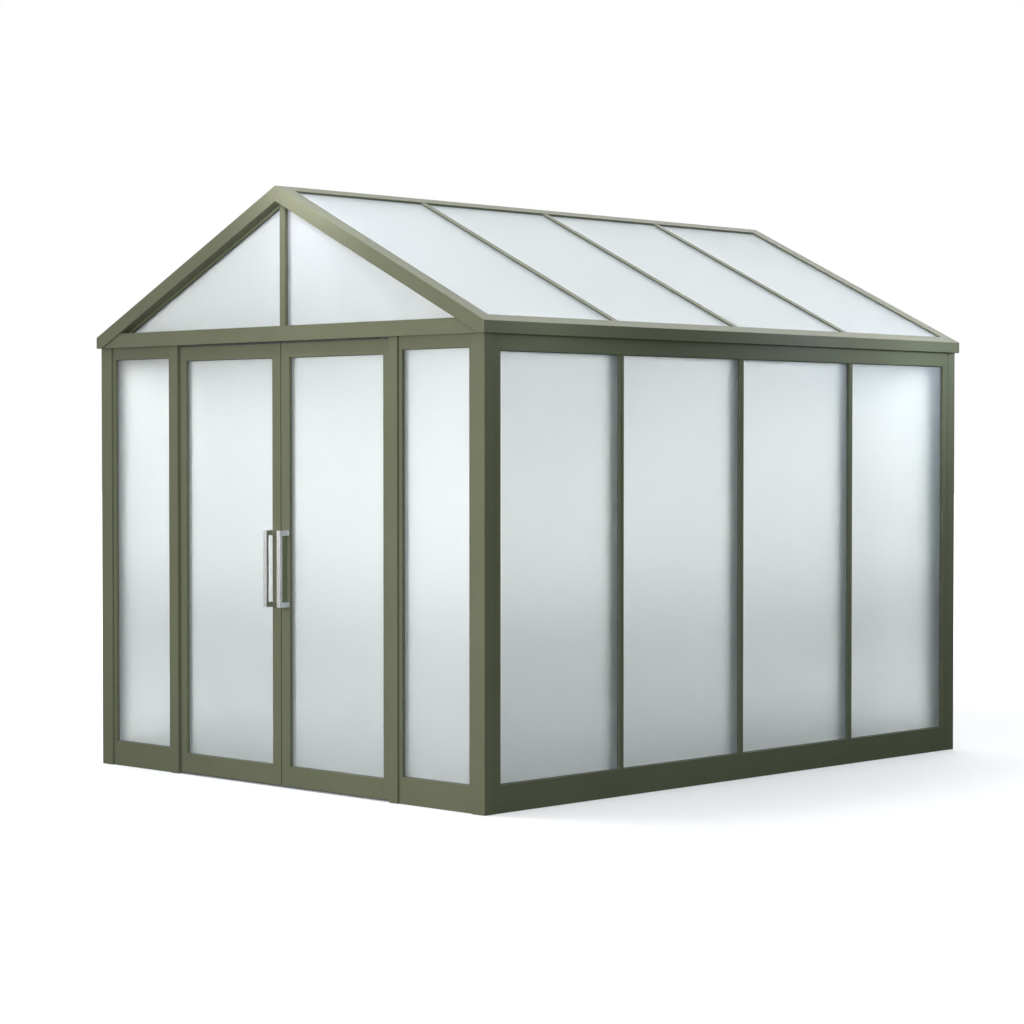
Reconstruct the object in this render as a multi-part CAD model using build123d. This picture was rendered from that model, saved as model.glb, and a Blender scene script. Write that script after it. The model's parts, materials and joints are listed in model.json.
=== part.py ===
from build123d import *
import os
from math import cos, radians, sin, tan

os.makedirs("parts", exist_ok=True)

# Walk-in gable greenhouse: powder-coated aluminium frame, satin glass, a pair of pivoted doors.
# Millimetres. +Z is up and the floor is z = 0. +X is to the right of somebody facing the doors,
# which are in the -Y wall. The origin is under the middle of the overall box, handles included.

# Overall shell
WIDTH = 2600.0  # across the corner posts
LENGTH = 3360.0  # along the corner posts
EAVE_Z = 2000.0  # tops of the posts, undersides of eave and tie beams
FASCIA = 52.0  # height of the eave beam's outer face
OVERHANG = 17.0  # roof edge beyond the corner posts, all round
PITCH = radians(26.0)

# Corner posts and roof members
POST_X, POST_Y = 78.0, 55.0
BARGE_DEPTH, BARGE_WIDTH = 64.0, 80.0  # square to the slope, and along Y
EAVE_STRIP = 66.0  # eave beam's sloping top, down the slope
TIE_HEIGHT, TIE_PROUD, TIE_BACK = 68.0, 11.0, 76.0
KING_WIDTH, KING_FRONT, KING_BACK = 37.0, 25.0, 63.0
BEAD_DEPTH, BEAD_FRONT, BEAD_BACK = 12.0, 30.0, 60.0
ROOF_BAR_WIDTH, ROOF_BAR_DROP, ROOF_BAR_DEPTH = 35.0, 1.0, 44.0
RIDGE_HALF, RIDGE_CAP, RIDGE_BOTTOM = 47.0, 3.0, 105.0
ROOF_GLASS_DROP = 8.0
END_BAY = 856.0  # from a post's outer face to the middle of the nearest side or roof bar

# Side and rear walls
SIDE_RECESS, SIDE_DEPTH = 3.0, 75.0
SIDE_STILE, SIDE_BAR, BAR_RECESS = 43.0, 26.0, 2.0
SIDE_BOTTOM, SIDE_TOP = 119.0, 70.0
GLASS = 6.0
GLASS_INSET = 15.0  # from a wall member's outer face to the glass

# Front wall
MULLION_X, MULLION, MULLION_DEPTH = 747.0, 53.0, 72.0
LIGHT_RECESS, LIGHT_DEPTH, LIGHT_STILE = 9.0, 46.0, 21.0
LIGHT_BOTTOM, LIGHT_TOP = 116.0, 56.0

# Doors, pivoted inside their top and bottom rails
DOOR_RECESS, DOOR_THICK = 14.0, 40.0
DOOR_BOTTOM_Z, DOOR_HEAD_GAP = 9.0, 10.0
JAMB_GAP, MEETING_GAP = 5.0, 5.0
HINGE_STILE, MEETING_STILE = 44.0, 56.0
DOOR_BOTTOM, DOOR_TOP = 88.0, 62.0
PIVOT_INSET = 65.0  # from the leaf's outer edge to its axis
PIN_R, PIN_CLEARANCE, BUSH_R, BUSH_LENGTH = 8.0, 0.05, 12.0, 30.0
COLLAR_R, COLLAR_GAP, PIN_END_GAP = 14.0, 0.3, 2.0
THRESHOLD, THRESHOLD_FRONT, THRESHOLD_BACK = 4.0, 9.0, 59.0
STOP_GAP, STOP_DEPTH, STOP_SET_BACK = 0.8, 26.0, 25.0  # set back along the leaf from the pivots
SEAL_HALF, SEAL_CLEARANCE, SEAL_FROM_END = 4.0, 1.3, 10.0

# Pull handles
HANDLE_HEIGHT, HANDLE_REACH = 344.0, 56.0
HANDLE_WIDTH, HANDLE_BAR = 23.0, 13.0  # across the bar's face, and its thickness
HANDLE_X, HANDLE_Z = 46.0, 983.0

# Anchor brackets
BRACKET, BRACKET_PLATE, ANCHOR_R = 60.0, 5.0, 5.5
BRACKET_FROM_END = 160.0

# Worked out from the dimensions above
ROOF_HALF = WIDTH / 2 + OVERHANG
RIDGE_Z = EAVE_Z + FASCIA + ROOF_HALF * tan(PITCH)
EAVE_INNER = ROOF_HALF - EAVE_STRIP * cos(PITCH)
HANDLE_BEYOND = HANDLE_REACH - DOOR_RECESS - OVERHANG
FRONT = -(LENGTH + HANDLE_BEYOND) / 2 + HANDLE_BEYOND
REAR = FRONT + LENGTH
DOOR_TOP_Z = EAVE_Z - DOOR_HEAD_GAP
LEAF_FRONT = FRONT + DOOR_RECESS
LEAF_MIDDLE = LEAF_FRONT + DOOR_THICK / 2
LEAF_BACK = LEAF_FRONT + DOOR_THICK
JAMB_X = MULLION_X - MULLION / 2
LEAF_OUTER = JAMB_X - JAMB_GAP
LEAF_INNER = MEETING_GAP / 2
PIVOT_X = LEAF_OUTER - PIVOT_INSET
SIDES = {"left": -1, "right": 1}
BAR_YS = [FRONT + END_BAY, (FRONT + REAR) / 2, REAR - END_BAY]


def block(x0, x1, y0, y1, z0, z1):
    """Rectangular bar between two opposite corners."""
    middle = Pos((x0 + x1) / 2, (y0 + y1) / 2, (z0 + z1) / 2)
    return middle * Box(abs(x1 - x0), abs(y1 - y0), abs(z1 - z0))


def prism_y(outline, y0, y1):
    """Prism along Y from an outline of (x, z) points."""
    edge = Polyline(*[(x, y0, z) for x, z in outline], close=True)
    return extrude(make_face(edge), amount=y1 - y0, dir=(0, 1, 0))


def prism_z(outline, z0, z1):
    """Prism along Z from an outline of (x, y) points."""
    edge = Polyline(*[(x, y, z0) for x, y in outline], close=True)
    return extrude(make_face(edge), amount=z1 - z0, dir=(0, 0, 1))


def rod(x, y, radius, z0, z1):
    """Upright round bar."""
    return Pos(x, y, (z0 + z1) / 2) * Cylinder(radius, z1 - z0)


def roof_z(x, drop=0.0):
    """Height at x of the roof plane, lowered by drop square to the slope."""
    return RIDGE_Z - abs(x) * tan(PITCH) - drop / cos(PITCH)


def roof_x(z, drop=0.0):
    """Distance from the centre line at which that plane comes down to z."""
    return (RIDGE_Z - drop / cos(PITCH) - z) / tan(PITCH)


def slope_bar(side, x0, x1, drop0, drop1, y0, y1):
    """Bar that follows one roof slope between two distances from the centre line."""
    corners = [(x0, drop0), (x1, drop0), (x1, drop1), (x0, drop1)]
    return prism_y([(side * x, roof_z(x, drop)) for x, drop in corners], y0, y1)


def end_face(end, inset):
    """Y of a plane that lies inset behind the front (end -1) or rear (end 1) post faces."""
    return FRONT + inset if end < 0 else REAR - inset


def clear_spans(centres, member, first, last):
    """(start, stop) of each clear span between bars of one width at the given centres."""
    starts = [first] + [c + member / 2 for c in centres]
    stops = [c - member / 2 for c in centres] + [last]
    return list(zip(starts, stops))


def save(name, *items):
    """Write one node. Several solids stay separate pieces of it."""
    solids = [solid for item in items for solid in item.solids()]
    node = Compound(children=solids)
    node.label = name
    export_step(node, f"parts/{name}.step")


def corner_post(side, end):
    outer = WIDTH / 2
    ys = end_face(end, 0.0), end_face(end, POST_Y)
    return block(side * (outer - POST_X), side * outer, *ys, 0.0, EAVE_Z)


def mitre_wedge(side, end):
    """Everything behind the corner mitre, for the members that lie in front of it."""
    outer, step = side * ROOF_HALF, 2.0
    y0 = end_face(end, -OVERHANG)
    y1 = end_face(end, -OVERHANG + step * BARGE_WIDTH)
    inner = side * (ROOF_HALF - step * (ROOF_HALF - EAVE_INNER))
    return prism_z([(outer, y0), (inner, y1), (outer, y1)], EAVE_Z - FASCIA, RIDGE_Z)


def eave_beam(side):
    """Eave beam whose outer face is the fascia, mitred to the barge rafters at both ends."""
    section = [
        (ROOF_HALF, EAVE_Z),
        (ROOF_HALF, EAVE_Z + FASCIA),
        (EAVE_INNER, roof_z(EAVE_INNER)),
        (EAVE_INNER, EAVE_Z),
    ]
    y0, y1 = end_face(-1, -OVERHANG), end_face(1, -OVERHANG)
    beam = prism_y([(side * x, z) for x, z in section], y0, y1)
    for end in (-1, 1):
        ya = end_face(end, -OVERHANG)
        yb = end_face(end, BARGE_WIDTH - OVERHANG)
        corner = [(side * ROOF_HALF, ya), (side * EAVE_INNER, yb), (side * EAVE_INNER, ya)]
        beam -= prism_z(corner, EAVE_Z - FASCIA, RIDGE_Z)
    return beam


def barge_rafter(side, end):
    """Gable rafter: plumb cut at the ridge, level foot on the post, mitred to the eave beam."""
    foot = roof_x(EAVE_Z, BARGE_DEPTH)
    outline = [
        (0.0, RIDGE_Z),
        (ROOF_HALF, EAVE_Z + FASCIA),
        (ROOF_HALF, EAVE_Z),
        (foot, EAVE_Z),
        (0.0, roof_z(0.0, BARGE_DEPTH)),
    ]
    ys = sorted((end_face(end, -OVERHANG), end_face(end, BARGE_WIDTH - OVERHANG)))
    return prism_y([(side * x, z) for x, z in outline], *ys) - mitre_wedge(side, end)


def tie_beam(end):
    """Beam across the gable, its ends cut to the slope under the barge rafters."""
    top = EAVE_Z + TIE_HEIGHT
    low, high = roof_x(EAVE_Z, BARGE_DEPTH), roof_x(top, BARGE_DEPTH)
    outline = [(-low, EAVE_Z), (low, EAVE_Z), (high, top), (-high, top)]
    ys = sorted((end_face(end, -TIE_PROUD), end_face(end, TIE_BACK)))
    beam = prism_y(outline, *ys)
    for side in SIDES.values():
        beam -= mitre_wedge(side, end)
    return beam


def king_post(end):
    half, foot = KING_WIDTH / 2, EAVE_Z + TIE_HEIGHT
    shoulder = roof_z(half, BARGE_DEPTH)
    peak = roof_z(0.0, BARGE_DEPTH)
    outline = [(-half, foot), (half, foot), (half, shoulder), (0.0, peak), (-half, shoulder)]
    ys = sorted((end_face(end, KING_FRONT), end_face(end, KING_BACK)))
    return prism_y(outline, *ys)


def gable_bead(side, end):
    """Glazing bead along the underside of a barge rafter, from king post to tie beam."""
    top, half = EAVE_Z + TIE_HEIGHT, KING_WIDTH / 2
    drop = BARGE_DEPTH + BEAD_DEPTH
    outline = [
        (half, roof_z(half, BARGE_DEPTH)),
        (roof_x(top, BARGE_DEPTH), top),
        (roof_x(top, drop), top),
        (half, roof_z(half, drop)),
    ]
    ys = sorted((end_face(end, BEAD_FRONT), end_face(end, BEAD_BACK)))
    return prism_y([(side * x, z) for x, z in outline], *ys)


def gable_pane(side, end):
    top, half = EAVE_Z + TIE_HEIGHT, KING_WIDTH / 2
    drop = BARGE_DEPTH + BEAD_DEPTH
    outline = [(half, top), (roof_x(top, drop), top), (half, roof_z(half, drop))]
    inset = (BEAD_FRONT + BEAD_BACK - GLASS) / 2
    ys = sorted((end_face(end, inset), end_face(end, inset + GLASS)))
    return prism_y([(side * x, z) for x, z in outline], *ys)


def gable(end, name):
    """The tie beam, king post, rafters and triangular panes of one gable."""
    save(f"tie_beam_{name}", tie_beam(end))
    save(f"king_post_{name}", king_post(end))
    save(f"gable_glass_{name}", *[gable_pane(side, end) for side in SIDES.values()])
    for side_name, side in SIDES.items():
        save(f"barge_rafter_{name}_{side_name}", barge_rafter(side, end))
        save(f"corner_post_{name}_{side_name}", corner_post(side, end))


def ridge(y0, y1):
    """Ridge beam with a folded cap over it, between the two pairs of barge rafters."""
    cap = [
        (-RIDGE_HALF, roof_z(RIDGE_HALF)),
        (0.0, RIDGE_Z),
        (RIDGE_HALF, roof_z(RIDGE_HALF)),
        (RIDGE_HALF, roof_z(RIDGE_HALF, RIDGE_CAP)),
        (0.0, roof_z(0.0, RIDGE_CAP)),
        (-RIDGE_HALF, roof_z(RIDGE_HALF, RIDGE_CAP)),
    ]
    flank = roof_z(RIDGE_HALF, RIDGE_CAP + ROOF_BAR_DEPTH)
    half_bottom = RIDGE_HALF / 2
    beam = [
        (-RIDGE_HALF, roof_z(RIDGE_HALF, RIDGE_CAP)),
        (0.0, roof_z(0.0, RIDGE_CAP)),
        (RIDGE_HALF, roof_z(RIDGE_HALF, RIDGE_CAP)),
        (RIDGE_HALF, flank),
        (half_bottom, RIDGE_Z - RIDGE_BOTTOM),
        (-half_bottom, RIDGE_Z - RIDGE_BOTTOM),
        (-RIDGE_HALF, flank),
    ]
    save("ridge_cap", prism_y(cap, y0, y1))
    save("ridge_beam", prism_y(beam, y0, y1))


def roof_slope(side, name, y0, y1):
    """Eave beam, glazing bars and panes of one slope."""
    bars = []
    for y in BAR_YS:
        ys = y - ROOF_BAR_WIDTH / 2, y + ROOF_BAR_WIDTH / 2
        drops = ROOF_BAR_DROP, ROOF_BAR_DROP + ROOF_BAR_DEPTH
        bars.append(slope_bar(side, RIDGE_HALF, EAVE_INNER, *drops, *ys))
    panes = []
    for start, stop in clear_spans(BAR_YS, ROOF_BAR_WIDTH, y0, y1):
        drops = ROOF_GLASS_DROP, ROOF_GLASS_DROP + GLASS
        panes.append(slope_bar(side, RIDGE_HALF, EAVE_INNER, *drops, start, stop))
    save(f"eave_beam_{name}", eave_beam(side))
    save(f"roof_bars_{name}", *bars)
    save(f"roof_glass_{name}", *panes)


def side_wall(side, name):
    """Rails, end stiles, glazing bars and panes between two corner posts."""
    outer = side * (WIDTH / 2 - SIDE_RECESS)
    inner = outer - side * SIDE_DEPTH
    y0, y1 = FRONT + POST_Y, REAR - POST_Y
    sill, head = SIDE_BOTTOM, EAVE_Z - SIDE_TOP
    save(f"side_bottom_rail_{name}", block(inner, outer, y0, y1, 0.0, sill))
    save(f"side_top_rail_{name}", block(inner, outer, y0, y1, head, EAVE_Z))
    first, last = y0 + SIDE_STILE, y1 - SIDE_STILE
    stiles = [block(inner, outer, *ys, sill, head) for ys in ((y0, first), (last, y1))]
    save(f"side_end_stiles_{name}", *stiles)
    bar_xs = inner + side * BAR_RECESS, outer - side * BAR_RECESS
    glass_xs = outer - side * GLASS_INSET, outer - side * (GLASS_INSET + GLASS)
    bars = [block(*bar_xs, y - SIDE_BAR / 2, y + SIDE_BAR / 2, sill, head) for y in BAR_YS]
    save(f"side_bars_{name}", *bars)
    bays = clear_spans(BAR_YS, SIDE_BAR, first, last)
    save(f"side_glass_{name}", *[block(*glass_xs, *ys, sill, head) for ys in bays])


def framed_light(x0, x1, y_outer, depth, stile, bottom, top):
    """Two rails and two stiles around one light; a negative depth runs towards -Y."""
    ys = y_outer, y_outer + depth
    sill, head = bottom, EAVE_Z - top
    return [
        block(x0, x1, *ys, 0.0, sill),
        block(x0, x1, *ys, head, EAVE_Z),
        block(x0, x0 + stile, *ys, sill, head),
        block(x1 - stile, x1, *ys, sill, head),
    ]


def sidelight(side, name):
    """Fixed light between a corner post and a door mullion."""
    x0, x1 = sorted((side * (MULLION_X + MULLION / 2), side * (WIDTH / 2 - POST_X)))
    face = FRONT + LIGHT_RECESS
    frame = framed_light(x0, x1, face, LIGHT_DEPTH, LIGHT_STILE, LIGHT_BOTTOM, LIGHT_TOP)
    glass_y = face + GLASS_INSET
    pane = block(
        x0 + LIGHT_STILE, x1 - LIGHT_STILE, glass_y, glass_y + GLASS, LIGHT_BOTTOM, EAVE_Z - LIGHT_TOP
    )
    mullion_xs = side * (MULLION_X - MULLION / 2), side * (MULLION_X + MULLION / 2)
    save(f"mullion_{name}", block(*mullion_xs, FRONT, FRONT + MULLION_DEPTH, 0.0, EAVE_Z))
    save(f"sidelight_frame_{name}", *frame)
    save(f"sidelight_glass_{name}", pane)


def rear_wall():
    """Fixed glazed wall of four equal bays."""
    half = WIDTH / 2 - POST_X
    face = REAR - SIDE_RECESS
    frame = framed_light(-half, half, face, -SIDE_DEPTH, SIDE_STILE, SIDE_BOTTOM, SIDE_TOP)
    sill, head = SIDE_BOTTOM, EAVE_Z - SIDE_TOP
    first, last = -half + SIDE_STILE, half - SIDE_STILE
    centres = [-half / 2, 0.0, half / 2]
    bar_ys = face - BAR_RECESS, face - SIDE_DEPTH + BAR_RECESS
    bars = [block(c - SIDE_BAR / 2, c + SIDE_BAR / 2, *bar_ys, sill, head) for c in centres]
    glass_ys = face - GLASS_INSET, face - GLASS_INSET - GLASS
    spans = clear_spans(centres, SIDE_BAR, first, last)
    panes = [block(*xs, *glass_ys, sill, head) for xs in spans]
    save("rear_frame", *frame)
    save("rear_bars", *bars)
    save("rear_glass", *panes)


def doorway():
    """Threshold plate, head stop and the fixed pivot pins that the leaves turn on."""
    plate_ys = FRONT + THRESHOLD_FRONT, FRONT + THRESHOLD_BACK
    save("threshold", block(-JAMB_X, JAMB_X, *plate_ys, 0.0, THRESHOLD))
    stop_ys = LEAF_BACK + STOP_GAP, FRONT + TIE_BACK
    reach = PIVOT_X - STOP_SET_BACK
    save("door_stop", block(-reach, reach, *stop_ys, DOOR_TOP_Z - STOP_DEPTH, EAVE_Z))
    pins = []
    for side in SIDES.values():
        x, y = side * PIVOT_X, LEAF_MIDDLE
        low_end = DOOR_BOTTOM_Z + BUSH_LENGTH - PIN_END_GAP
        high_end = DOOR_TOP_Z - BUSH_LENGTH + PIN_END_GAP
        collar = rod(x, y, COLLAR_R, THRESHOLD, DOOR_BOTTOM_Z - COLLAR_GAP)
        flange = rod(x, y, COLLAR_R, EAVE_Z - THRESHOLD, EAVE_Z)
        pins.append(collar + rod(x, y, PIN_R, THRESHOLD, low_end))
        pins.append(flange + rod(x, y, PIN_R, high_end, EAVE_Z))
    save("pivot_pins", *pins)


def handle(side):
    """Flat-bar pull handle: an upright bar on two arms."""
    x0, x1 = side * HANDLE_X - HANDLE_WIDTH / 2, side * HANDLE_X + HANDLE_WIDTH / 2
    tip = LEAF_FRONT - HANDLE_REACH
    z0, z1 = HANDLE_Z - HANDLE_HEIGHT / 2, HANDLE_Z + HANDLE_HEIGHT / 2
    grip = block(x0, x1, tip, tip + HANDLE_BAR, z0, z1)
    for z in (z0, z1 - HANDLE_WIDTH):
        grip += block(x0, x1, tip, LEAF_FRONT, z, z + HANDLE_WIDTH)
    return grip


def door(side, name):
    """One leaf: stiles, rails with bushed pivot holes, pane and handle."""
    ys = LEAF_FRONT, LEAF_BACK
    outer, inner = side * LEAF_OUTER, side * LEAF_INNER
    rail_outer = outer - side * HINGE_STILE
    rail_inner = inner + side * MEETING_STILE
    sill, head = DOOR_BOTTOM_Z + DOOR_BOTTOM, DOOR_TOP_Z - DOOR_TOP
    spans = (DOOR_BOTTOM_Z, sill), (head, DOOR_TOP_Z)
    seats = (DOOR_BOTTOM_Z, DOOR_BOTTOM_Z + BUSH_LENGTH), (DOOR_TOP_Z - BUSH_LENGTH, DOOR_TOP_Z)
    rails = []
    bushes = []
    for span, seat in zip(spans, seats):
        sleeve = rod(side * PIVOT_X, LEAF_MIDDLE, BUSH_R, *seat)
        rails.append(block(rail_outer, rail_inner, *ys, *span) - sleeve)
        bushes.append(sleeve - rod(side * PIVOT_X, LEAF_MIDDLE, PIN_R + PIN_CLEARANCE, *seat))
    save(f"door_{name}_rails", *rails)
    save(f"door_{name}_pivot_bushes", *bushes)
    save(f"door_{name}_hinge_stile", block(outer, rail_outer, *ys, DOOR_BOTTOM_Z, DOOR_TOP_Z))
    save(f"door_{name}_meeting_stile", block(inner, rail_inner, *ys, DOOR_BOTTOM_Z, DOOR_TOP_Z))
    glass_ys = LEAF_FRONT + GLASS_INSET, LEAF_FRONT + GLASS_INSET + GLASS
    save(f"door_{name}_glass", block(rail_outer, rail_inner, *glass_ys, sill, head))
    save(f"door_{name}_handle", handle(side))


def meeting_seal():
    """Brush strip on the left leaf's meeting edge, short of the right leaf."""
    xs = -LEAF_INNER, LEAF_INNER - SEAL_CLEARANCE
    ys = LEAF_MIDDLE - SEAL_HALF, LEAF_MIDDLE + SEAL_HALF
    return block(*xs, *ys, DOOR_BOTTOM_Z + SEAL_FROM_END, DOOR_TOP_Z - SEAL_FROM_END)


def anchor_bracket(side, end):
    """Angle inside the side bottom rail, with one anchor hole through its foot."""
    wall = side * (WIDTH / 2 - SIDE_RECESS - SIDE_DEPTH)
    y = end_face(end, BRACKET_FROM_END)
    ys = y - BRACKET / 2, y + BRACKET / 2
    foot = block(wall, wall - side * BRACKET, *ys, 0.0, BRACKET_PLATE)
    leg = block(wall, wall - side * BRACKET_PLATE, *ys, 0.0, BRACKET)
    hole_x = wall - side * (BRACKET_PLATE + BRACKET) / 2
    return foot + leg - rod(hole_x, y, ANCHOR_R, 0.0, BRACKET_PLATE)


between_barges = end_face(-1, BARGE_WIDTH - OVERHANG), end_face(1, BARGE_WIDTH - OVERHANG)
gable(-1, "front")
gable(1, "rear")
ridge(*between_barges)
save("gable_beads", *[gable_bead(side, end) for side in SIDES.values() for end in (-1, 1)])
for side_label, side_sign in SIDES.items():
    roof_slope(side_sign, side_label, *between_barges)
    side_wall(side_sign, side_label)
    sidelight(side_sign, side_label)
    door(side_sign, side_label)
rear_wall()
doorway()
save("meeting_seal", meeting_seal())
save("anchor_brackets", *[anchor_bracket(side, end) for side in SIDES.values() for end in (-1, 1)])
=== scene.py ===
import json
from math import atan2, cos, pi, radians, sin

import bmesh
import bpy
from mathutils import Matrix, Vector

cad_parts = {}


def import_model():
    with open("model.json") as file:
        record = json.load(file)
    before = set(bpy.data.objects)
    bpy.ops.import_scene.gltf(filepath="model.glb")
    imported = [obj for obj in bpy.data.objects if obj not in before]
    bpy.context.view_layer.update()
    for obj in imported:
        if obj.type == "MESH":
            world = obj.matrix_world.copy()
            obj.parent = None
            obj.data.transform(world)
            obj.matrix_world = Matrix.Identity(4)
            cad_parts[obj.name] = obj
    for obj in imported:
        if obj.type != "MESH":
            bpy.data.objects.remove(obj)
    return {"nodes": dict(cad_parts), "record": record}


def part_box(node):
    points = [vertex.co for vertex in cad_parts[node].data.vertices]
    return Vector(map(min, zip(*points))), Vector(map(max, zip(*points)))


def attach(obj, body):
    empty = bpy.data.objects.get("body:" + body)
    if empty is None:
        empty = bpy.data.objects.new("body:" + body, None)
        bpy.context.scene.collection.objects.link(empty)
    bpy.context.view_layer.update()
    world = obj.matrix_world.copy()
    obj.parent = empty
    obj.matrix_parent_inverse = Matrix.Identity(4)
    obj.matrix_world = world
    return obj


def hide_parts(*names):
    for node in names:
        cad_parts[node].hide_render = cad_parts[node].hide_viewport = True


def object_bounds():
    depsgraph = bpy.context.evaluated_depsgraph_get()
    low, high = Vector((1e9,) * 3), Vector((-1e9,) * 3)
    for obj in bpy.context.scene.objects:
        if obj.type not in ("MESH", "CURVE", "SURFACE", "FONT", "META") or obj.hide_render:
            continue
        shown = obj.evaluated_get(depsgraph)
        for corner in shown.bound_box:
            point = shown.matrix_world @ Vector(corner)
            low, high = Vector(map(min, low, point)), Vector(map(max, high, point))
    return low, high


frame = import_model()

cad_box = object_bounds()
nodes = frame["nodes"]
scene = bpy.context.scene

# Camera: degrees round from the front and up, metres away, focal length in millimetres
AZIMUTH, ELEVATION, DISTANCE, LENS = 44.24, 1.45, 12.515, 92.7
AIM = (-1.048, 1.239, 1.219)  # from the outer corner of the front right post, at the floor
BEHIND = (-0.70, 0.71, 0.05)  # away from the camera, level with it

# Light. Sky lobes: direction, cosines at which a lobe starts and is full, colour there
SKY = [
    ((-0.57, 0.82, 0.0), 0.85, 1.0, (7.4, 7.05, 7.05)),
    (BEHIND, 0.2, 0.9, (1.06, 1.05, 1.04)),
    ((0.0, 0.0, 1.0), 0.3, 1.0, (1.0, 1.06, 1.10)),
    ((-0.70, -0.71, 0.05), 0.85, 1.0, (1.9, 1.85, 1.8)),
    ((0.70, -0.71, 0.15), 0.3, 1.0, (0.48, 0.54, 0.60)),
]
# Softboxes: name, location, target, size, power, colour
SOFTBOXES = [
    ("front", (1.4, -5.5, 1.7), (0.5, -1.6, 1.4), (1.2, 1.2), 88.0, (1.0, 0.96, 1.0)),
    ("top", (-1.2, -2.6, 7.6), (0.3, -1.0, 2.4), (2.0, 2.0), 205.0, (0.87, 0.94, 1.0)),
    ("rear_edge", (2.1, 1.5, 2.25), (1.32, 1.45, 2.04), (0.4, 0.4), 10.5, (0.74, 0.82, 1.0)),
    ("front_edge", (1.72, -1.3, 2.12), (1.32, -1.3, 2.04), (0.2, 0.2), 0.75, (0.74, 0.82, 1.0)),
    ("apex", (0.25, -2.0, 2.74), (0.25, -1.68, 2.62), (0.5, 0.1), 4.0, (0.86, 0.82, 1.0)),
]
# Floor: colour and glow near to far as the camera sees it, and near to far as reflected light sees it
FLOOR_SEEN, FLOOR_GLOW = (0.80, 0.785, 0.77, 1.0), (0.20, 0.75)
FLOOR_NEAR, FLOOR_FAR = (0.27, 0.295, 0.29), (0.07, 0.09, 0.09)
GLOW_SPAN = (3.5, 9.0)  # metres from the middle
SHADE_SPAN = (-1.3, 0.3)  # metres along BEHIND
FLOOR_HALF, FLOOR_DROP = 60.0, 0.0005  # the drop keeps it clear of the object's underside

# Edges of the metal members: rounding, broad along the roof's outline, and least angle rounded
EDGE, BROAD_EDGE, EDGE_ANGLE = 0.0012, 0.0025, 25.0
MERGE = 1e-5  # points closer than this are one

# Glazing, in metres. The lip is a section as (inward from the pane's edge, off the glass)
PANE_GAP = 0.0015  # between a pane's edge and the members round it, under the gaskets
ARRIS = 0.0008
GASKET_LIP = [(0.0, 0.0), (0.0, 0.0020), (0.0012, 0.0020), (0.0026, 0.0008), (0.0028, 0.0)]

# Painted shade on the glass: how bright its colour stays up its height, as (height / the height below,
# value), and in the gables
PAINTED_SHADE_HEIGHT = 3.0
PAINTED_SHADE_STOPS = [(0.10, 0.99), (0.22, 0.90), (0.37, 1.0), (0.62, 1.0), (0.68, 0.98)]
GABLE_PAINTED_SHADE = 0.08  # painted shade: how much darker the gable panes are
GABLE_FACE, EAVE = (1.64, 1.645), (2.05, 2.06)  # a gable pane lies beyond both

# Fittings, in metres. Round ones are (radius, height) profiles
CARRIER, CARRIER_HEIGHT, BRUSH_END = 0.0034, 0.0022, 0.002  # the last is short of the leaf's sides
TUFT_PITCH, TUFT_ROOT, TUFT_TIP = 0.004, (0.0011, 0.0013), (0.0016, 0.0008)
TUFT_START, RAGGED = 0.8, 0.0004  # share of the carrier's height; unevenness of the tips
BRUSH_Y, BRUSH_CLEAR = 0.0036, 0.0006  # behind the leaf's face; short of the tie beam and threshold
BOLT_FROM_END = 0.0115
CAP_SIDES, SCREW_SIDES = 24, 16
BOLT_CAP = [(0.0085, 0.0), (0.0085, 0.0012), (0.0075, 0.0026), (0.005, 0.0034), (0.002, 0.0036)]
SCREW_HEAD = [(0.005, 0.0), (0.005, 0.0012), (0.0042, 0.0026), (0.0022, 0.0032), (0.0008, 0.0032)]
SCREW_FROM_END, SCREW_HEIGHT, BRACKET_PLATE = 0.014, 0.042, 0.005


# ---------------------------------------------------------------- shader helpers

def new_material(name):
    """Material with a lone Principled shader. Returns the material and its shader node."""
    material = bpy.data.materials.new(name)
    material.use_nodes = True
    return material, material.node_tree.nodes["Principled BSDF"]


def add(material, kind, inputs=None, **settings):
    """New shader node with settings and socket values; a value may be another node's output."""
    made = material.node_tree.nodes.new(kind)
    for key, value in settings.items():
        setattr(made, key, value)
    for key, value in (inputs or {}).items():
        if isinstance(value, bpy.types.NodeSocket):
            material.node_tree.links.new(value, made.inputs[key])
        else:
            made.inputs[key].default_value = value
    return made


def link(material, output, target):
    material.node_tree.links.new(output, target)


def place(material, stretch=(1.0, 1.0, 1.0)):
    """Coordinates on the object in metres, stretched along some axes."""
    coordinates = add(material, "ShaderNodeTexCoord").outputs["Object"]
    return add(material, "ShaderNodeMapping", {0: coordinates, "Scale": stretch}).outputs[0]


def noise(material, where, scale, detail=2.0):
    inputs = {"Vector": where, "Scale": scale, "Detail": detail}
    return add(material, "ShaderNodeTexNoise", inputs).outputs[0]


def spread(material, value, low, high, start=0.3, stop=0.7):
    """Maps a value between start and stop to one between low and high. The defaults suit noise."""
    return add(material, "ShaderNodeMapRange", {0: value, 1: start, 2: stop, 3: low, 4: high}).outputs[0]


def tint(material, value, dark, light):
    """Colour between two, by a value from 0 to 1."""
    mix = add(material, "ShaderNodeMix", data_type="RGBA")
    link(material, value, mix.inputs[0])
    mix.inputs[6].default_value = (*dark, 1.0)
    mix.inputs[7].default_value = (*light, 1.0)
    return mix.outputs[2]


def shape_ramp(ramp, stops):
    """Sets a colour ramp's grey stops from (position, value) pairs."""
    ramp.interpolation = "EASE"
    while len(ramp.elements) < len(stops):
        ramp.elements.new(1.0)
    for element, (position, value) in zip(ramp.elements, stops):
        element.position = position
        element.color = (value, value, value, 1.0)


def grain(material, shader, height, strength, distance):
    bump = add(material, "ShaderNodeBump", {"Strength": strength, "Distance": distance, "Height": height})
    link(material, bump.outputs[0], shader.inputs["Normal"])


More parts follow.
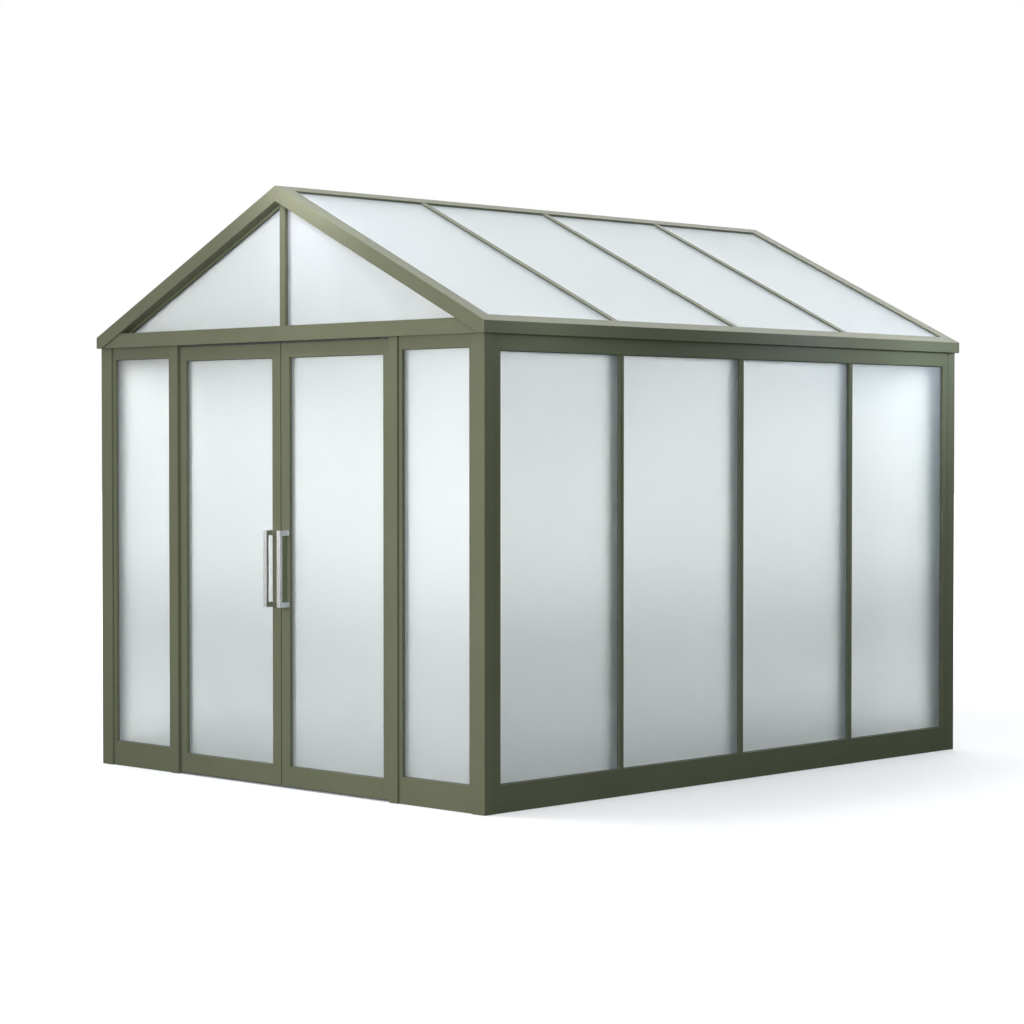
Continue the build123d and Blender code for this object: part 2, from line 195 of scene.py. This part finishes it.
# ---------------------------------------------------------------- materials

def olive_paint():
    material, shader = new_material("olive_powder_coat")
    where = place(material)
    mottle = spread(material, noise(material, where, 3.0, 4.0), 0.0, 1.0)
    colour = tint(material, mottle, (0.140, 0.148, 0.088), (0.154, 0.162, 0.098))
    link(material, colour, shader.inputs["Base Color"])
    link(material, spread(material, noise(material, where, 40.0), 0.36, 0.44), shader.inputs["Roughness"])
    shader.inputs["Specular IOR Level"].default_value = 0.1
    grain(material, shader, noise(material, where, 700.0), 0.12, 0.0002)
    return material


def times(material, one, other):
    return add(material, "ShaderNodeMath", {0: one, 1: other}, operation="MULTIPLY").outputs[0]


def painted_shade(material, where):
    """Painted shade on the glass: its colour darker in a band above the foot, and in the gables."""
    apart = add(material, "ShaderNodeSeparateXYZ", {0: where})
    height = apart.outputs["Z"]
    ramp = add(material, "ShaderNodeValToRGB", {0: spread(material, height, 0.0, 1.0, 0.0, PAINTED_SHADE_HEIGHT)})
    shape_ramp(ramp.color_ramp, PAINTED_SHADE_STOPS)
    end = add(material, "ShaderNodeMath", {0: apart.outputs["Y"]}, operation="ABSOLUTE").outputs[0]
    beyond = spread(material, end, 0.0, 1.0, *GABLE_FACE)
    above = spread(material, height, 0.0, GABLE_PAINTED_SHADE, *EAVE)
    gable_shade = times(material, beyond, above)
    gable_lightness = add(material, "ShaderNodeMath", {0: 1.0, 1: gable_shade}, operation="SUBTRACT").outputs[0]
    return times(material, ramp.outputs[0], gable_lightness)


def satin_glass():
    material, shader = new_material("satin_glass")
    where = place(material)
    cloud = spread(material, noise(material, where, 1.2), 0.0, 1.0)
    glass_tint = tint(material, cloud, (0.950, 0.985, 0.978), (0.965, 0.995, 0.988))
    # painted shade darkens the glass colour above the foot and in the gables
    scaled = {0: glass_tint, "Scale": painted_shade(material, where)}
    colour = add(material, "ShaderNodeVectorMath", scaled, operation="SCALE")
    link(material, colour.outputs[0], shader.inputs["Base Color"])
    shader.inputs["Roughness"].default_value = 0.50
    shader.inputs["Transmission Weight"].default_value = 0.83
    shader.inputs["IOR"].default_value = 1.45
    return material


def brushed_steel():
    material, shader = new_material("brushed_stainless")
    strokes = noise(material, place(material, (1.0, 1.0, 0.02)), 1400.0, 3.0)
    colour = tint(material, spread(material, strokes, 0.0, 1.0), (0.78, 0.78, 0.78), (0.83, 0.83, 0.83))
    link(material, colour, shader.inputs["Base Color"])
    link(material, spread(material, strokes, 0.26, 0.30), shader.inputs["Roughness"])
    shader.inputs["Metallic"].default_value = 1.0
    return material


def plain_metal(name, dark, light):
    material, shader = new_material(name)
    where = place(material)
    mottle = spread(material, noise(material, where, 60.0, 4.0), 0.0, 1.0)
    link(material, tint(material, mottle, dark, light), shader.inputs["Base Color"])
    link(material, spread(material, noise(material, where, 90.0), 0.30, 0.45), shader.inputs["Roughness"])
    shader.inputs["Metallic"].default_value = 1.0
    grain(material, shader, noise(material, where, 900.0), 0.1, 0.0002)
    return material


def seal_grey():
    material, shader = new_material("seal_rubber")
    where = place(material)
    mottle = spread(material, noise(material, where, 30.0), 0.0, 1.0)
    colour = tint(material, mottle, (0.085, 0.095, 0.085), (0.11, 0.12, 0.11))
    link(material, colour, shader.inputs["Base Color"])
    link(material, spread(material, noise(material, where, 200.0), 0.55, 0.7), shader.inputs["Roughness"])
    grain(material, shader, noise(material, where, 1200.0), 0.2, 0.0002)
    return material


FINISHES = {
    "olive_paint": olive_paint(),
    "satin_glass": satin_glass(),
    "brushed_steel": brushed_steel(),
    "pivot_steel": plain_metal("pivot_steel", (0.42, 0.42, 0.42), (0.52, 0.52, 0.51)),
    "mill_aluminium": plain_metal("mill_aluminium", (0.60, 0.61, 0.62), (0.70, 0.71, 0.72)),
    "seal_grey": seal_grey(),
}


def dress(name, obj):
    """Puts the finishes on a CAD node and eases its edges, unless it is glass."""
    for slot in obj.material_slots:
        slot.material = FINISHES[slot.material.name.split(".")[0]]
    if "glass" in name:
        return
    weld = obj.modifiers.new("weld", "WELD")
    weld.merge_threshold = MERGE
    bevel = obj.modifiers.new("arris", "BEVEL")
    bevel.width = BROAD_EDGE if "barge" in name or "eave" in name else EDGE
    bevel.segments = 2
    bevel.limit_method = "ANGLE"
    bevel.angle_limit = radians(EDGE_ANGLE)
    bevel.harden_normals = True


for name, obj in nodes.items():
    dress(name, obj)


# ---------------------------------------------------------------- pieces made here

def new_piece(name, faces, body, slot, replaced=()):
    """Mesh object from faces given as lists of points. It rides on a body and has a slot's finish."""
    mesh = bpy.data.meshes.new(name)
    built = bmesh.new()
    for face in faces:
        built.faces.new([built.verts.new(point) for point in face])
    bmesh.ops.remove_doubles(built, verts=built.verts, dist=MERGE)
    bmesh.ops.recalc_face_normals(built, faces=built.faces)
    built.to_mesh(mesh)
    built.free()
    mesh.materials.append(FINISHES[slot])
    obj = bpy.data.objects.new(name, mesh)
    scene.collection.objects.link(obj)
    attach(obj, body)
    if replaced:
        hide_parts(*replaced)
    return obj


def islands(mesh):
    """Point lists of a mesh's separate pieces, each with the normal of its largest face."""
    built = bmesh.new()
    built.from_mesh(mesh)
    bmesh.ops.remove_doubles(built, verts=built.verts, dist=MERGE)
    left = set(built.verts)
    found = []
    while left:
        group, to_visit = set(), [min(left, key=lambda v: v.index)]
        while to_visit:
            vertex = to_visit.pop()
            if vertex in group:
                continue
            group.add(vertex)
            to_visit.extend(e.other_vert(vertex) for e in vertex.link_edges)
        left -= group
        largest = max({f for v in group for f in v.link_faces}, key=lambda f: f.calc_area())
        found.append(([v.co.copy() for v in group], largest.normal.copy()))
    built.free()
    return found


def pane_outlines(node):
    """(corners of the outer face in order, outward normal, thickness) of each pane in a glass node."""
    middle = (cad_box[0] + cad_box[1]) / 2
    outlines = []
    for points, normal in islands(nodes[node].data):
        centre = sum(points, Vector()) / len(points)
        outward = normal if normal.dot(centre - middle) > 0 else -normal
        depths = [p.dot(outward) for p in points]
        thickness = max(depths) - min(depths)
        outer = [p for p, d in zip(points, depths) if d > max(depths) - thickness / 2]
        across = (outer[0] - centre).cross(outward).normalized()
        up = outward.cross(across)
        outer.sort(key=lambda p: atan2((p - centre).dot(up), (p - centre).dot(across)))
        outlines.append((outer, outward, thickness))
    return outlines


def inset(corners, outward, distance):
    """A convex outline's corners after every edge has moved inward by a distance."""
    moved = []
    for before, here, after in zip(corners[-1:] + corners[:-1], corners, corners[1:] + corners[:1]):
        along_in, along_out = (here - before).normalized(), (after - here).normalized()
        half = (along_out - along_in).normalized()
        moved.append(here + half * (distance / half.cross(along_in).length))
    return moved


def rings_to_faces(rings, closed):
    """Quads between successive rings of points; the last ring joins the first if closed."""
    following = rings[1:] + (rings[:1] if closed else [])
    faces = []
    for lower, upper in zip(rings, following):
        for i in range(len(lower)):
            j = (i + 1) % len(lower)
            faces.append([lower[i], lower[j], upper[j], upper[i]])
    return faces


def panes(node, body):
    """Satin panes with arrissed edges, a little smaller than their openings."""
    faces = []
    for corners, outward, thickness in pane_outlines(node):
        steps = [
            (PANE_GAP + ARRIS, 0.0),
            (PANE_GAP, ARRIS),
            (PANE_GAP, thickness - ARRIS),
            (PANE_GAP + ARRIS, thickness),
        ]
        rings = [[p - outward * depth for p in inset(corners, outward, step)] for step, depth in steps]
        faces += rings_to_faces(rings, closed=False) + [rings[0], rings[-1]]
    return new_piece(node.replace("glass", "panes"), faces, body, "satin_glass", replaced=[node])


def gaskets(node, body):
    """Rubber glazing strips against both faces of every pane in a node."""
    faces = []
    for corners, outward, thickness in pane_outlines(node):
        for base, rise in ((0.0, 1.0), (thickness, -1.0)):
            rings = []
            for step, height in GASKET_LIP:
                shift = outward * (rise * height - base)
                rings.append([p + shift for p in inset(corners, outward, step)])
            faces += rings_to_faces(rings, closed=True)
    return new_piece(node.replace("glass", "gaskets"), faces, body, "seal_grey")


bodies = frame["record"]["behaviour"]["bodies"]
body_of = {node: body for body, members in bodies.items() for node in members}
for name in sorted(nodes):
    if "glass" in name:
        panes(name, body_of[name])
        gaskets(name, body_of[name])


def box_faces(low, high):
    """Six faces of a block between two corners."""
    x0, y0, z0 = low
    x1, y1, z1 = high
    lower = [(x0, y0, z0), (x1, y0, z0), (x1, y1, z0), (x0, y1, z0)]
    upper = [(x, y, z1) for x, y, z in lower]
    return rings_to_faces([lower, upper], closed=False) + [lower, upper]


def rectangle(x, y, z, half):
    """Four corners of a level rectangle with half sizes in X and Y."""
    return [(x + i * half[0], y + j * half[1], z) for i, j in ((-1, -1), (1, -1), (1, 1), (-1, 1))]


def draught_brush(name, body, xs, y, z_root, z_tip):
    """Brush along a leaf's top or bottom edge: a carrier strip and separate tufts of bristle."""
    up = 1 if z_tip > z_root else -1
    carrier_z = z_root + up * CARRIER_HEIGHT
    faces = box_faces((xs[0], y - CARRIER / 2, z_root), (xs[1], y + CARRIER / 2, carrier_z))
    for i in range(int((xs[1] - xs[0]) / TUFT_PITCH)):
        x = xs[0] + (i + 0.5) * TUFT_PITCH
        ragged = RAGGED * (1 + sin(2.4 * i))
        foot = rectangle(x, y, z_root + up * CARRIER_HEIGHT * TUFT_START, TUFT_ROOT)
        tip = rectangle(x, y, z_tip - up * ragged, TUFT_TIP)
        faces += rings_to_faces([foot, tip], closed=False) + [foot, tip]
    return new_piece(name, faces, body, "seal_grey")


def turned(profile, centre, sides):
    """Rings of a round shape about the Y axis from (radius, y) pairs, closed at both ends."""
    angles = [2 * pi * i / sides for i in range(sides)]
    rings = []
    for radius, y in profile:
        rings.append([centre + Vector((radius * cos(a), y, radius * sin(a))) for a in angles])
    return rings_to_faces(rings, closed=False) + [rings[0], rings[-1]]


def leaf_fittings(side):
    """Draught brushes on a leaf's top and bottom edges, and bolt caps behind its handle."""
    body = f"door_{side}"
    outer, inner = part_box(f"{body}_hinge_stile"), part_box(f"{body}_meeting_stile")
    xs = min(outer[0].x, inner[0].x) + BRUSH_END, max(outer[1].x, inner[1].x) - BRUSH_END
    y = outer[0].y + BRUSH_Y
    head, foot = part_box("tie_beam_front")[0].z - BRUSH_CLEAR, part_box("threshold")[1].z + BRUSH_CLEAR
    draught_brush(f"{body}_head_brush", body, xs, y, outer[1].z, head)
    draught_brush(f"{body}_foot_brush", body, xs, y, outer[0].z, foot)
    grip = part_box(f"{body}_handle")
    faces = []
    for z in (grip[0].z + BOLT_FROM_END, grip[1].z - BOLT_FROM_END):
        centre = Vector(((grip[0].x + grip[1].x) / 2, outer[1].y, z))
        faces += turned(BOLT_CAP, centre, CAP_SIDES)
    new_piece(f"{body}_bolt_caps", faces, body, "brushed_steel")


def bracket_screws():
    """Pan-head screws that fix each anchor bracket's leg to the bottom rail."""
    faces = []
    for points, _ in islands(nodes["anchor_brackets"].data):
        low = Vector(min(p[i] for p in points) for i in range(3))
        high = Vector(max(p[i] for p in points) for i in range(3))
        side = 1 if low.x > 0 else -1
        face_x = (high.x if side > 0 else low.x) - side * BRACKET_PLATE
        for y in (low.y + SCREW_FROM_END, high.y - SCREW_FROM_END):
            for face in turned(SCREW_HEAD, Vector((0, 0, 0)), SCREW_SIDES):
                z = low.z + SCREW_HEIGHT
                faces.append([(face_x - side * p[1], y + p[0], z + p[2]) for p in face])
    new_piece("bracket_screws", faces, "frame", "pivot_steel")


for side in ("left", "right"):
    leaf_fittings(side)
bracket_screws()


# ---------------------------------------------------------------- stage, light and camera

def dot(material, one, other):
    inputs = {0: one, 1: other}
    return add(material, "ShaderNodeVectorMath", inputs, operation="DOT_PRODUCT").outputs["Value"]


def mixed_by_camera(material, unseen, seen):
    """Shader that differs for camera rays and for all others."""
    path = add(material, "ShaderNodeLightPath")
    factors = {0: path.outputs["Is Camera Ray"], 1: unseen.outputs[0], 2: seen.outputs[0]}
    return add(material, "ShaderNodeMixShader", factors).outputs[0]


def floor_finish():
    """Pale to the camera, with a glow that hides the horizon; as reflected light it darkens far away."""
    material = bpy.data.materials.new("floor")
    material.use_nodes = True
    material.node_tree.nodes.clear()
    where = add(material, "ShaderNodeTexCoord").outputs["Object"]
    apart = add(material, "ShaderNodeVectorMath", {0: where}, operation="LENGTH").outputs["Value"]
    pale = add(material, "ShaderNodeBsdfDiffuse", {"Color": FLOOR_SEEN})
    strength = spread(material, apart, *FLOOR_GLOW, *GLOW_SPAN)
    glow = add(material, "ShaderNodeEmission", {"Strength": strength})
    seen = add(material, "ShaderNodeAddShader", {0: pale.outputs[0], 1: glow.outputs[0]})
    away = spread(material, dot(material, where, BEHIND), 0.0, 1.0, *SHADE_SPAN)
    shade = tint(material, away, FLOOR_NEAR, FLOOR_FAR)
    unseen = add(material, "ShaderNodeBsdfDiffuse", {"Color": shade})
    out = add(material, "ShaderNodeOutputMaterial")
    link(material, mixed_by_camera(material, unseen, seen), out.inputs[0])
    return material


def floor():
    mesh = bpy.data.meshes.new("floor")
    mesh.from_pydata(rectangle(0, 0, 0, (FLOOR_HALF, FLOOR_HALF)), [], [(0, 1, 2, 3)])
    mesh.materials.append(floor_finish())
    obj = bpy.data.objects.new("floor", mesh)
    scene.collection.objects.link(obj)
    obj.location.z = -FLOOR_DROP


def world():
    """White to the camera. As light it is the sum of soft lobes, brightest behind the object."""
    made = bpy.data.worlds.new("studio")
    scene.world = made
    made.use_nodes = True
    made.node_tree.nodes.clear()
    where = add(made, "ShaderNodeTexCoord").outputs["Generated"]
    total = (0, 0, 0)
    for direction, start, full, colour in SKY:
        limits = {0: dot(made, where, Vector(direction).normalized()), 1: start, 2: full}
        level = add(made, "ShaderNodeMapRange", limits, interpolation_type="SMOOTHSTEP")
        lobe = {0: colour, "Scale": level.outputs[0]}
        terms = {0: total, 1: add(made, "ShaderNodeVectorMath", lobe, operation="SCALE").outputs[0]}
        total = add(made, "ShaderNodeVectorMath", terms, operation="ADD").outputs[0]
    unseen = add(made, "ShaderNodeBackground", {0: total, 1: 1.0})
    seen = add(made, "ShaderNodeBackground", {0: (1, 1, 1, 1), 1: 1.0})
    out = add(made, "ShaderNodeOutputWorld")
    link(made, mixed_by_camera(made, unseen, seen), out.inputs[0])


def softbox(name, location, target, size, power, colour):
    light = bpy.data.lights.new(name, "AREA")
    light.shape = "RECTANGLE"
    light.size, light.size_y = size
    light.energy = power
    light.color = colour
    obj = bpy.data.objects.new(name, light)
    scene.collection.objects.link(obj)
    obj.location = location
    obj.rotation_euler = (Vector(target) - Vector(location)).to_track_quat("-Z", "Y").to_euler()


def camera():
    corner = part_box("corner_post_front_right")
    azimuth, elevation = radians(AZIMUTH), radians(ELEVATION)
    target = Vector((corner[1].x + AIM[0], corner[0].y + AIM[1], AIM[2]))
    back = Vector((sin(azimuth) * cos(elevation), -cos(azimuth) * cos(elevation), sin(elevation)))
    lens = bpy.data.cameras.new("camera")
    lens.lens = LENS
    lens.sensor_width = 36.0
    lens.clip_end = 200.0
    obj = bpy.data.objects.new("camera", lens)
    scene.collection.objects.link(obj)
    obj.location = target + back * DISTANCE
    obj.rotation_euler = (-back).to_track_quat("-Z", "Y").to_euler()
    scene.camera = obj


floor()
world()
for settings in SOFTBOXES:
    softbox(*settings)
camera()
scene.view_settings.view_transform = "Standard"
